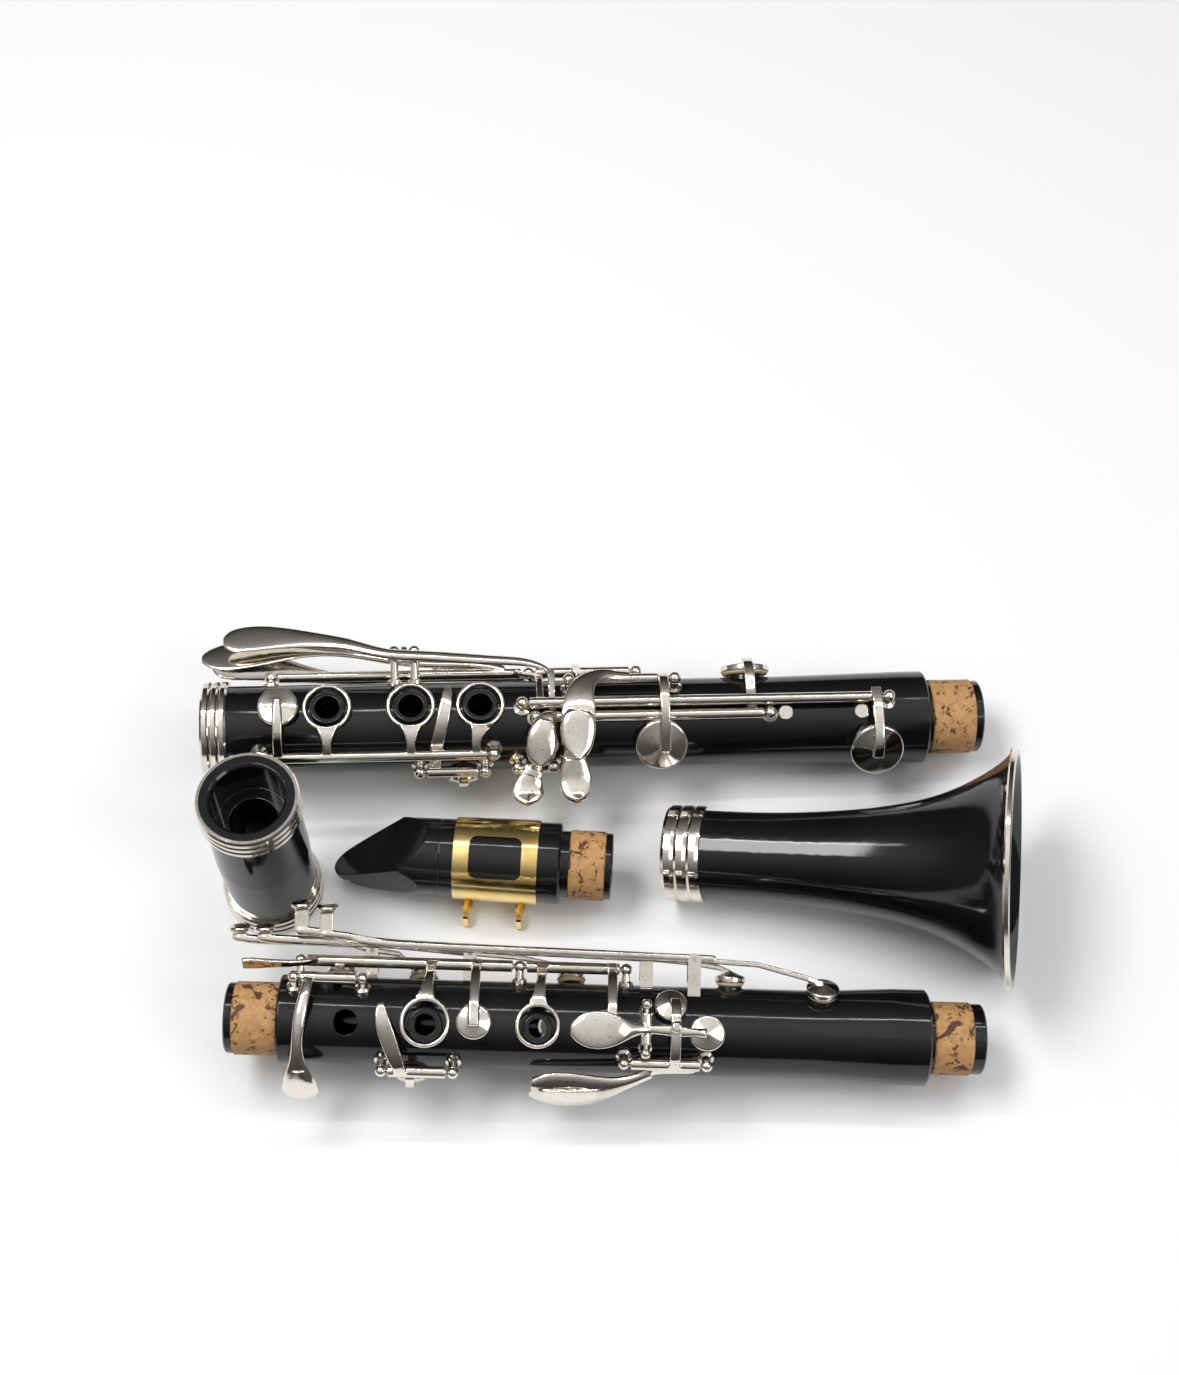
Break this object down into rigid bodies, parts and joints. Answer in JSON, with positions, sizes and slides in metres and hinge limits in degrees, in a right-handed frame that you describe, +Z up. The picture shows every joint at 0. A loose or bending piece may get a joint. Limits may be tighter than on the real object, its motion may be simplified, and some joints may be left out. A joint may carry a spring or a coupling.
{
  "type": "clarinet",
  "caption": "B-flat clarinet taken apart into mouthpiece with ligature, barrel, upper joint, lower joint and flared bell, with keys, rings and pads on hinged keywork.",
  "frame": {"origin": "middle of the whole layout's box, on the floor", "axes": "+X along the joints from their left ends to their right ends, +Y from the upper joint to the lower joint, +Z up from the floor"},
  "size_m": [0.2669, 0.1545, 0.0737],
  "materials": {
    "body_plastic": "satin black",
    "key_metal": "polished nickel plate",
    "rod_steel": "satin",
    "cork": "matte",
    "pad_skin": "matte",
    "ligature_brass": "polished gold lacquer"
  },
  "bodies": {
    "lower_joint": {"lower_joint_body": "body_plastic", "lower_socket_ring": "key_metal", "lower_tenon_cork": "cork", "lower_posts": "key_metal", "lower_rods": "rod_steel", "thumb_rest": "key_metal"},
    "lower_ring_key": {"lower_ring_key": "key_metal", "lower_ring_key_pad": "pad_skin"},
    "lower_sliver_key": {"lower_sliver_key": "key_metal", "lower_sliver_key_pad": "pad_skin"},
    "e_key": {"e_key": "key_metal", "e_key_pad": "pad_skin"},
    "f_sharp_key": {"f_sharp_key": "key_metal", "f_sharp_key_pad": "pad_skin"},
    "f_key": {"f_key": "key_metal", "f_key_pad": "pad_skin"},
    "a_flat_key": {"a_flat_key": "key_metal", "a_flat_key_pad": "pad_skin"},
    "left_e_key": {"left_e_key": "key_metal"},
    "left_f_sharp_key": {"left_f_sharp_key": "key_metal"},
    "left_f_key": {"left_f_key": "key_metal"},
    "upper_joint": {"upper_joint_body": "body_plastic", "upper_tenon_corks": "cork", "vent_tubes": "key_metal", "upper_posts": "key_metal", "upper_rods": "rod_steel"},
    "upper_low_ring_key": {"upper_low_ring_key": "key_metal", "upper_low_ring_key_pad": "pad_skin"},
    "upper_high_ring_key": {"upper_high_ring_key": "key_metal", "upper_high_ring_key_pad": "pad_skin"},
    "c_sharp_key": {"c_sharp_key": "key_metal", "c_sharp_key_pad": "pad_skin"},
    "upper_sliver_key": {"upper_sliver_key": "key_metal", "upper_sliver_key_pad": "pad_skin"},
    "a_key": {"a_key": "key_metal", "a_key_pad": "pad_skin"},
    "g_sharp_key": {"g_sharp_key": "key_metal", "g_sharp_key_pad": "pad_skin"},
    "register_key": {"register_key": "key_metal", "register_key_pad": "pad_skin"},
    "thumb_ring_key": {"thumb_ring_key": "key_metal"},
    "side_key_1": {"side_key_1": "key_metal", "side_key_1_pad": "pad_skin"},
    "side_key_2": {"side_key_2": "key_metal", "side_key_2_pad": "pad_skin"},
    "side_key_3": {"side_key_3": "key_metal", "side_key_3_pad": "pad_skin"},
    "side_key_4": {"side_key_4": "key_metal", "side_key_4_pad": "pad_skin"},
    "mouthpiece": {"mouthpiece_body": "body_plastic", "mouthpiece_cork": "cork", "ligature": "ligature_brass"},
    "ligature_screw_1": {"ligature_screw_1": "ligature_brass"},
    "ligature_screw_2": {"ligature_screw_2": "ligature_brass"},
    "barrel": {"barrel_body": "body_plastic", "barrel_rings": "key_metal"},
    "bell": {"bell_body": "body_plastic", "bell_socket_ring": "key_metal", "bell_rim_ring": "key_metal"}
  },
  "joints": [
    {"name": "upper_joint_lift", "type": "slide", "parent": "lower_joint", "child": "upper_joint", "axis": [0, 0, 1], "range_m": [0, 0.1]},
    {"name": "barrel_lift", "type": "slide", "parent": "lower_joint", "child": "barrel", "axis": [0, 0, 1], "range_m": [0, 0.1]},
    {"name": "mouthpiece_lift", "type": "slide", "parent": "lower_joint", "child": "mouthpiece", "axis": [0, 0, 1], "range_m": [0, 0.1]},
    {"name": "bell_lift", "type": "slide", "parent": "lower_joint", "child": "bell", "axis": [0, 0, 1], "range_m": [0, 0.1]},
    {"name": "lower_ring_hinge", "type": "hinge", "parent": "lower_joint", "child": "lower_ring_key", "pos_m": [-0.07584, 0.0313, 0.03322], "axis": [0.9979, 0.0471, -0.0436], "range_deg": [-4, 0], "stiffness_Nm_per_rad": 0.02, "springref_deg": 22.92},
    {"name": "lower_sliver_hinge", "type": "hinge", "parent": "lower_joint", "child": "lower_sliver_key", "pos_m": [-0.05116, 0.03076, 0.02406], "axis": [0.9979, 0.0471, -0.0436], "range_deg": [-4, 0], "stiffness_Nm_per_rad": 0.02, "springref_deg": 22.92},
    {"name": "e_hinge", "type": "hinge", "parent": "lower_joint", "child": "e_key", "pos_m": [0.0287, 0.04967, 0.03752], "axis": [0.9979, 0.0471, -0.0436], "range_deg": [0, 8], "stiffness_Nm_per_rad": 0.02, "springref_deg": -22.92},
    {"name": "f_sharp_hinge", "type": "hinge", "parent": "lower_joint", "child": "f_sharp_key", "pos_m": [0.01382, 0.04497, 0.03598], "axis": [0.9979, 0.0471, -0.0436], "range_deg": [0, 6], "stiffness_Nm_per_rad": 0.02, "springref_deg": -22.92},
    {"name": "f_hinge", "type": "hinge", "parent": "lower_joint", "child": "f_key", "pos_m": [0.00331, 0.05724, 0.03796], "axis": [0.9979, 0.0471, -0.0436], "range_deg": [0, 7], "stiffness_Nm_per_rad": 0.02, "springref_deg": -22.92},
    {"name": "a_flat_hinge", "type": "hinge", "parent": "lower_joint", "child": "a_flat_key", "pos_m": [-0.02213, 0.03199, 0.02471], "axis": [0.9979, 0.0471, -0.0436], "range_deg": [0, 7], "stiffness_Nm_per_rad": 0.02, "springref_deg": -22.92},
    {"name": "left_e_hinge", "type": "hinge", "parent": "lower_joint", "child": "left_e_key", "pos_m": [-0.0727, 0.06508, 0.02679], "axis": [0.9979, 0.0471, -0.0436], "range_deg": [-10, 0], "stiffness_Nm_per_rad": 0.02, "springref_deg": 22.92},
    {"name": "left_f_sharp_hinge", "type": "hinge", "parent": "lower_joint", "child": "left_f_sharp_key", "pos_m": [-0.06723, 0.06929, 0.03506], "axis": [0.9979, 0.0471, -0.0436], "range_deg": [-10, 0], "stiffness_Nm_per_rad": 0.02, "springref_deg": 22.92},
    {"name": "left_f_hinge", "type": "hinge", "parent": "lower_joint", "child": "left_f_key", "pos_m": [-0.00883, 0.06809, 0.024], "axis": [0.9979, 0.0471, -0.0436], "range_deg": [-7, 0], "stiffness_Nm_per_rad": 0.02, "springref_deg": 22.92},
    {"name": "upper_low_ring_hinge", "type": "hinge", "parent": "upper_joint", "child": "upper_low_ring_key", "pos_m": [-0.06086, -0.03905, 0.03219], "axis": [0.9992, -0.0174, -0.0349], "range_deg": [0, 3.5], "stiffness_Nm_per_rad": 0.02, "springref_deg": -22.92},
    {"name": "upper_high_ring_hinge", "type": "hinge", "parent": "upper_joint", "child": "upper_high_ring_key", "pos_m": [-0.0119, -0.0399, 0.03048], "axis": [0.9992, -0.0174, -0.0349], "range_deg": [0, 3.5], "stiffness_Nm_per_rad": 0.02, "springref_deg": -22.92},
    {"name": "c_sharp_hinge", "type": "hinge", "parent": "upper_joint", "child": "c_sharp_key", "pos_m": [-0.08374, -0.04699, 0.04012], "axis": [0.9992, -0.0174, -0.0349], "range_deg": [0, 3], "stiffness_Nm_per_rad": 0.02, "springref_deg": -22.92},
    {"name": "upper_sliver_hinge", "type": "hinge", "parent": "upper_joint", "child": "upper_sliver_key", "pos_m": [-0.05758, -0.07161, 0.02766], "axis": [0.9992, -0.0174, -0.0349], "range_deg": [-4, 0], "stiffness_Nm_per_rad": 0.02, "springref_deg": 22.92},
    {"name": "a_hinge", "type": "hinge", "parent": "upper_joint", "child": "a_key", "pos_m": [0.01004, -0.06251, 0.03659], "axis": [0.0297, 0.9201, 0.3905], "range_deg": [-4, 0], "stiffness_Nm_per_rad": 0.02, "springref_deg": 22.92},
    {"name": "g_sharp_hinge", "type": "hinge", "parent": "upper_joint", "child": "g_sharp_key", "pos_m": [0.01559, -0.07048, 0.0304], "axis": [0.9992, -0.0174, -0.0349], "range_deg": [0, 4], "stiffness_Nm_per_rad": 0.02, "springref_deg": -22.92},
    {"name": "register_hinge", "type": "hinge", "parent": "upper_joint", "child": "register_key", "pos_m": [0.03404, -0.04933, 0.00371], "axis": [0.0297, 0.9201, 0.3905], "range_deg": [0, 4], "stiffness_Nm_per_rad": 0.02, "springref_deg": -22.92},
    {"name": "thumb_ring_hinge", "type": "hinge", "parent": "upper_joint", "child": "thumb_ring_key", "pos_m": [-0.01915, -0.06095, 0.00531], "axis": [0.9992, -0.0174, -0.0349], "range_deg": [0, 4], "stiffness_Nm_per_rad": 0.02, "springref_deg": -22.92},
    {"name": "side_1_hinge", "type": "hinge", "parent": "upper_joint", "child": "side_key_1", "pos_m": [-0.07302, -0.03129, 0.02389], "axis": [0.0253, -0.3912, 0.9199], "range_deg": [0, 3.6], "stiffness_Nm_per_rad": 0.02, "springref_deg": -22.92},
    {"name": "side_2_hinge", "type": "hinge", "parent": "upper_joint", "child": "side_key_2", "pos_m": [-0.04293, -0.03365, 0.02717], "axis": [0.0253, -0.3912, 0.9199], "range_deg": [0, 2], "stiffness_Nm_per_rad": 0.02, "springref_deg": -22.92},
    {"name": "side_3_hinge", "type": "hinge", "parent": "upper_joint", "child": "side_key_3", "pos_m": [0.01065, -0.03642, 0.02962], "axis": [0.0253, -0.3912, 0.9199], "range_deg": [0, 1.5], "stiffness_Nm_per_rad": 0.02, "springref_deg": -22.92},
    {"name": "side_4_hinge", "type": "hinge", "parent": "upper_joint", "child": "side_key_4", "pos_m": [0.02486, -0.03851, 0.03346], "axis": [0.0253, -0.3912, 0.9199], "range_deg": [0, 1.4], "stiffness_Nm_per_rad": 0.02, "springref_deg": -22.92},
    {"name": "ligature_screw_1_turn", "type": "hinge", "parent": "mouthpiece", "child": "ligature_screw_1", "pos_m": [-0.04532, 0.00123, 0.0018], "axis": [0.064, 0.9898, -0.1271], "range_deg": [-180, 180]},
    {"name": "ligature_screw_2_turn", "type": "hinge", "parent": "mouthpiece", "child": "ligature_screw_2", "pos_m": [-0.02835, 0.00014, 0.0018], "axis": [0.064, 0.9898, -0.1271], "range_deg": [-180, 180]}
  ],
  "couplings": [
    {"joint": "left_e_hinge", "follows": "e_hinge", "ratio": -1.24},
    {"joint": "left_f_sharp_hinge", "follows": "f_sharp_hinge", "ratio": -1.63},
    {"joint": "left_f_hinge", "follows": "f_hinge", "ratio": -0.91}
  ]
}
